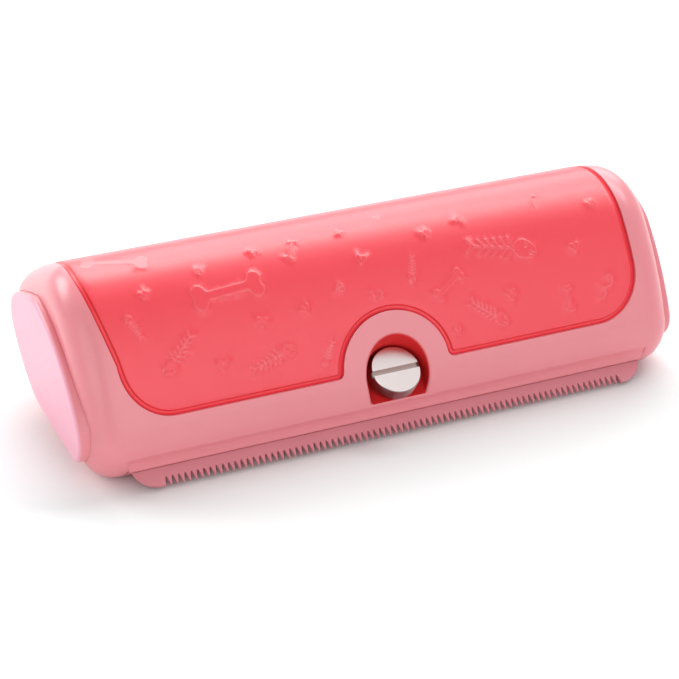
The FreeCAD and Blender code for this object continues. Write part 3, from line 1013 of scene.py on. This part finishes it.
    def build(self, body: str) -> bpy.types.Object:
        """Makes the cover and puts it in place of its plain solid.

        Args:
            body: Name of the body that it rides on.

        Returns:
            The cover.
        """
        edge = self.outline()
        stamps = self.stamps()
        parts = self.edge_parts
        tree = kdtree.KDTree(len(edge) * parts)
        ring = np.concatenate([edge, edge[:1]])
        for number in range(len(edge)):
            for part in range(parts):
                spot = ring[number] + (ring[number + 1] - ring[number]) * part / parts
                tree.insert((spot[0], spot[1], 0.0), number * parts + part)
        tree.balance()

        def from_edge(points: Array) -> Array:
            """Distance of points from the cover's edge."""
            return np.array([tree.find((p[0], p[1], 0.0))[2] for p in points])

        inner = self._inner_points(edge, stamps, from_edge)
        points = np.concatenate([edge, inner])
        border = [(k, (k + 1) % len(edge)) for k in range(len(edge))]
        only_inside = 1
        made = delaunay_2d_cdt([Vector(p) for p in points], border, [], only_inside, self.merging)
        flat = np.array([tuple(v) for v in made[0]])
        faces = [tuple(face) for face in made[2]]
        inside = from_edge(flat)
        past = np.clip(np.abs(flat[:, 0]) - self.body_end + self.end_rounding, 0, None)
        bend = self.end_rounding - np.sqrt(self.end_rounding**2 - past**2)
        raised = self._relief(flat, stamps, inside)
        lift = self.edge_profile(inside) + self.relief * raised - bend
        # The distance from the cover's edge, and the band along each ornament's edge where a highlight is
        # painted.
        measured = {EDGE_DISTANCE: inside, MOTIF_HIGHLIGHT: 4 * raised * (1 - raised)}
        return self._solid(flat, faces, lift, measured, body)

    def _inner_points(self, edge: Array, stamps: list[Stamp], from_edge: Callable[[Array], Array]) -> Array:
        """Points inside the cover: rings along its rim, a coarse grid, and a fine grid on ornaments.

        Args:
            edge: The cover's edge.
            stamps: The ornaments.
            from_edge: Distance of points from the edge.

        Returns:
            The points (along, walk).
        """
        heading = np.roll(edge, -1, axis=0) - np.roll(edge, 1, axis=0)
        heading /= np.hypot(*heading.T)[:, None]
        inward = np.stack([-heading[:, 1], heading[:, 0]], axis=1)
        wall = self.rim_width + self.rim_wall
        offsets = [self.rim_width, *(wall + share * self.rim_rounding for share in self.rounding_rings)]
        found = []
        for offset in offsets:
            ring = edge + inward * offset
            found.append(ring[from_edge(ring) > self.ring_clearance * offset])
        low, high = edge.min(axis=0), edge.max(axis=0)
        grid = self._grid(low, high, self.coarse)
        depth = self._deepest(grid, stamps)
        clear = (depth < self.bare_below) | (depth > self.bare_above)
        grid = grid[self._within(grid, edge) & clear]
        found.append(grid[from_edge(grid) > offsets[-1] + self.coarse_margin])
        for stamp in stamps:
            middle = np.array([stamp.along, stamp.walk])
            half = self.patch_half * stamp.length
            patch = self._grid(middle - half, middle + half, self.fine)
            depth = stamp.depth(patch[:, 0], patch[:, 1])
            patch = patch[(depth > self.fine_from) & (depth < self.fine_to)]
            patch = patch[self._within(patch, edge)]
            if len(patch):
                found.append(patch[from_edge(patch) > offsets[-1] + self.fine_margin])
        return np.concatenate(found)

    @staticmethod
    def _grid(low: Array, high: Array, step: float) -> Array:
        """Points of a grid with staggered rows.

        Args:
            low: Its lowest corner.
            high: Its highest corner.
            step: Its spacing.

        Returns:
            The points.
        """
        rows = np.arange(low[1], high[1], step * math.sqrt(0.75))
        columns = np.arange(low[0], high[0], step)
        across, up = np.meshgrid(columns, rows)
        across = across + (np.arange(len(rows))[:, None] % 2) * step / 2
        return np.stack([across.ravel(), up.ravel()], axis=1)

    @staticmethod
    def _within(points: Array, loop: Array) -> Array:
        """Which points lie inside a closed line.

        Args:
            points: The points.
            loop: The line.

        Returns:
            True for each point inside.
        """
        inside = np.zeros(len(points), bool)
        after = np.roll(loop, -1, axis=0)
        for (ax, ay), (bx, by) in zip(loop, after):
            if ay == by:
                continue
            level = (ay > points[:, 1]) != (by > points[:, 1])
            crossing = (bx - ax) * (points[:, 1] - ay) / (by - ay) + ax
            inside ^= level & (points[:, 0] < crossing)
        return inside

    @staticmethod
    def _deepest(points: Array, stamps: list[Stamp]) -> Array:
        """Distance inside the nearest ornament, negative outside all of them."""
        return np.max([stamp.depth(points[:, 0], points[:, 1]) for stamp in stamps], axis=0)

    def _relief(self, flat: Array, stamps: list[Stamp], inside: Array) -> Array:
        """Height of the ornaments over the cover's face, as a share of the full relief.

        Args:
            flat: Points (along, walk).
            stamps: The ornaments.
            inside: Distance of the points from the cover's edge.

        Returns:
            The share at each point.
        """
        share = np.clip(self._deepest(flat, stamps) / self.relief_edge + self.relief_start, 0, 1)
        clear = inside > self.rim_width + self.rim_rounding
        faint = (flat[:, 1] > self.faint_from) & (flat[:, 1] < self.faint_to)
        return np.where(faint, self.faint_share, 1.0) * share * share * (3 - 2 * share) * clear

    def _solid(
        self, flat: Array, faces: list[tuple], lift: Array, measured: dict[str, Array], body: str
    ) -> bpy.types.Object:
        """Wraps the flat mesh round the bar, closes it underneath and dresses it.

        Args:
            flat: Points (along, walk).
            faces: Triangles of the flat mesh.
            lift: Height of each point over the bar's surface.
            measured: Numbers for each point that the rubber's colour needs, by name.
            body: Name of the body that the cover rides on.

        Returns:
            The cover.
        """
        y, z = self.section.surface(flat[:, 1], lift)
        outer = np.stack([flat[:, 0], y, z], axis=1)
        y, z = self.section.surface(flat[:, 1], -self.thickness)
        inner = np.stack([flat[:, 0], y, z], axis=1)
        count = len(flat)
        uses: dict[tuple[int, int], int] = {}
        for face in faces:
            for a, b in zip(face, face[1:] + face[:1]):
                uses[(a, b)] = uses.get((a, b), 0) + 1
        walls = [(b, a, a + count, b + count) for a, b in uses if (b, a) not in uses]
        under = [tuple(v + count for v in reversed(face)) for face in faces]
        mesh = bpy.data.meshes.new("grip_cover_skin")
        mesh.from_pydata([*map(tuple, outer), *map(tuple, inner)], [], [*faces, *under, *walls])
        mesh.validate()
        mesh.shade_smooth()
        for name, numbers in measured.items():
            mesh.attributes.new(name, "FLOAT", "POINT").data.foreach_set("value", np.tile(numbers, 2))
        mesh.materials.append(self.rubber.material("coral_rubber_painted_light"))
        cover = bpy.data.objects.new("grip_cover_skin", mesh)
        bpy.context.scene.collection.objects.link(cover)
        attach(cover, body)
        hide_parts("grip_cover")
        return cover


@dataclass
class Mouldings:
    """The pink plastic mouldings: shell, base cover and the two end plates."""

    axis: Axis
    pink: MouldedPlastic
    # Colour of the painted light on the end plates' faces.
    plate: Colour
    # Colour in the screw's pocket: a red lining colour deepened with painted shade.
    pocket_red_and_shade: Colour
    # Colour of the painted shadow in the gap over the blade.
    gap_shadow: Colour = srgb(150, 70, 78)
    well_shift: float = 1.3 * MM
    well_radius: float = 7.72 * MM
    well_floor: float = -0.1 * MM
    # Where the end plates' painted light starts and where it is full, as reach from the middle of the bar.
    face_start: float = 75.2 * MM
    face_end: float = 75.9 * MM

    def dress(self) -> list[str]:
        """Gives each moulding its plastic.

        Returns:
            Names of the nodes that were dressed.
        """
        up_slope = self.axis.outward.cross(Vector((1, 0, 0)))
        middle = Axis(self.axis.point - up_slope * self.well_shift, self.axis.outward)
        shell = WellPlastic(self.pink, self.pocket_red_and_shade, middle, self.well_radius, self.well_floor, self.gap_shadow)
        plate = PlatePlastic(self.pink, self.plate, self.face_start, self.face_end).material("plate_pink_painted_light")
        finishes = {
            "body_shell": shell.material("shell_pink_and_painted_shade"),
            "base_cover": self.pink.material("base_pink"),
            "left_end_plate": plate,
            "right_end_plate": plate,
        }
        return paint(finishes)


@dataclass
class BladeClamp:
    """The comb blade and the screw that clamps it."""

    axis: Axis
    blade: PaintedSteel
    steel: Colour
    brass: Colour
    # Colours of the painted shade in the knurl's grooves and on the slot's floor.
    groove_shade: Colour = srgb(40, 28, 26)
    slot: Colour = srgb(176, 160, 155)

    def dress(self) -> list[str]:
        """Gives the blade and the metal pieces their finishes.

        Returns:
            Names of the nodes that were dressed.
        """
        turned = TurnedSteel(self.axis, self.steel)
        steel = turned.material("turned_steel")
        finishes = {
            "comb_blade": self.blade.material("blade_paint"),
            "thumb_screw": HeadSteel(turned, self.groove_shade, self.slot).material("head_steel_painted_shade"),
            "screw_washer": steel,
            "threaded_insert": TurnedSteel(self.axis, self.brass).material("turned_brass"),
        }
        finishes |= {name: steel for name in frame["nodes"] if name.startswith("base_screw")}
        return paint(finishes)


def paint(finishes: dict[str, bpy.types.Material]) -> list[str]:
    """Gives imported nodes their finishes.

    Args:
        finishes: The material of each node, by the node's name.

    Returns:
        The nodes' names.
    """
    for node, material in finishes.items():
        for slot in frame["nodes"][node].material_slots:
            slot.material = material
    return list(finishes)


@dataclass
class Studio:
    """Pale floor, soft lights and the camera."""

    eye: Vector = Vector((-183.872, -426.563, 251.793)) * MM
    right: Vector = Vector((0.91774, -0.39707, -0.00986))
    up: Vector = Vector((0.19141, 0.42038, 0.88693))
    backward: Vector = Vector((-0.34803, -0.81585, 0.46180))
    focal: float = 113.99
    sensor: float = 36.0
    floor_half: float = 3.0
    ambient: float = 0.47
    aim: Vector = Vector((0, 0, 0.02))
    nearest: float = 0.01
    farthest: float = 50.0
    floor_tone: Colour = (0.9, 0.95, 0.945)
    floor_roughness: float = 0.9
    seen_by: tuple[str, str, str] = ("Is Camera Ray", "Is Glossy Ray", "Is Transmission Ray")

    def build(self) -> None:
        """Makes the floor, the world, the lights and the camera."""
        self._floor()
        self._world()
        self._lamp("top_softbox", Vector((0.55, -0.35, 1.1)), (1.5, 0.9), 0.14)
        self._lamp("rear_top_strip", Vector((0.5, 0.5, 1.05)), (1.6, 0.32), 7.5)
        self._lamp("back_softbox", Vector((0.5, 1.2, 0.75)), (1.8, 0.7), 3.0)
        self._lamp("left_back_softbox", Vector((-0.85, 0.98, 0.7)), (0.7, 0.6), 7.5)
        self._lamp("left_softbox", Vector((-1.15, -0.75, 0.6)), (0.9, 0.7), 1.6)
        self._lamp("front_fill", Vector((0.2, -1.3, 0.6)), (1.1, 0.9), 1.4)
        self._camera()

    def _floor(self) -> None:
        """Lays a plain pale floor that keeps the object's shadow."""
        half = self.floor_half
        corners = [(-half, -half, 0), (half, -half, 0), (half, half, 0), (-half, half, 0)]
        mesh = bpy.data.meshes.new("floor")
        mesh.from_pydata(corners, [], [(0, 1, 2, 3)])
        graph = Graph("floor_white")
        graph.wire("Base Color", (*self.floor_tone, 1.0))
        graph.wire("Roughness", self.floor_roughness)
        mesh.materials.append(graph.material)
        floor = bpy.data.objects.new("floor", mesh)
        bpy.context.scene.collection.objects.link(floor)

    def _world(self) -> None:
        """Surrounds everything with even pale light, seen as white."""
        world = bpy.data.worlds.new("pale_room")
        bpy.context.scene.world = world
        world.use_nodes = True
        tree = world.node_tree
        tree.nodes.clear()
        path = tree.nodes.new("ShaderNodeLightPath")
        back = tree.nodes.new("ShaderNodeBackground")
        strength = back.inputs["Strength"]
        # The strength is 1 for the rays that see the background, and the ambient level for the rest.
        for kind in self.seen_by:
            seen = tree.nodes.new("ShaderNodeMath")
            seen.operation = "MAXIMUM"
            tree.links.new(path.outputs[kind], seen.inputs[0])
            tree.links.new(seen.outputs[0], strength)
            strength = seen.inputs[1]
        strength.default_value = self.ambient
        out = tree.nodes.new("ShaderNodeOutputWorld")
        tree.links.new(back.outputs[0], out.inputs["Surface"])

    def _lamp(self, name: str, place: Vector, size: tuple[float, float], brightness: float) -> None:
        """Hangs a soft rectangular light that faces the object.

        Args:
            name: The light's name.
            place: Its place.
            size: Its width and height.
            brightness: How bright its face looks, where 1 is white.
        """
        lamp = bpy.data.lights.new(name, "AREA")
        lamp.shape = "RECTANGLE"
        lamp.size, lamp.size_y = size
        lamp.energy = brightness * math.pi * size[0] * size[1]
        holder = bpy.data.objects.new(name, lamp)
        holder.location = place
        holder.rotation_euler = (self.aim - place).to_track_quat("-Z", "Y").to_euler()
        bpy.context.scene.collection.objects.link(holder)

    def _camera(self) -> None:
        """Sets the camera where the photograph was taken from."""
        data = bpy.data.cameras.new("camera")
        data.sensor_fit = "HORIZONTAL"
        data.sensor_width = self.sensor
        data.lens = self.focal
        data.clip_start = self.nearest
        data.clip_end = self.farthest
        camera = bpy.data.objects.new("camera", data)
        turn = Matrix((self.right, self.up, self.backward)).transposed()
        camera.matrix_world = Matrix.Translation(self.eye) @ turn.to_4x4()
        bpy.context.scene.collection.objects.link(camera)
        bpy.context.scene.camera = camera


def screw_axis() -> Axis:
    """The thumb screw's axis, from the joint that turns it."""
    record = next(j for j in frame["record"]["behaviour"]["joints"] if j["name"] == "screw_turn")
    return Axis(Vector(record["pos_m"]), Vector(record["axis"]).normalized())


def main() -> None:
    """Builds and dresses the brush, then sets up the studio."""
    logging.basicConfig(level=logging.INFO, format="%(name)s: %(message)s")
    bpy.context.scene.view_settings.view_transform = "Standard"
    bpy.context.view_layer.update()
    axis = screw_axis()
    pink = MouldedPlastic(srgb(236, 142, 150), srgb(233, 136, 145))
    # The plate colour is painted light on the end plates' faces.
    # The pocket's deep red is partly painted shade.
    mouldings = Mouldings(axis, pink, plate=srgb(240, 164, 186), pocket_red_and_shade=srgb(205, 0, 5))
    for name in mouldings.dress():
        LOG.info("dressed %s", name)
    paint_finish = PaintedSteel(srgb(226, 142, 152), srgb(220, 134, 145))
    clamp = BladeClamp(axis, paint_finish, steel=srgb(228, 216, 215), brass=srgb(214, 178, 104))
    for name in clamp.dress():
        LOG.info("dressed %s", name)
    rubber = GripRubber(
        colour=srgb(246, 66, 80),
        bloom=srgb(243, 60, 75),
        # Painted shade on the sunken rim, and the painted shadow along its wall.
        rim=srgb(250, 56, 70),
        crease=srgb(222, 8, 24),
        # Colour of the painted highlight on the ornaments' edges.
        edge_highlight=srgb(255, 150, 155),
        rim_width=GripCover.rim_width,
    )
    cover = GripCover(Section(), rubber).build("body")
    LOG.info("built %s with %d triangles", cover.name, len(cover.data.polygons))
    Studio().build()


if __name__ == "__main__":
    main()
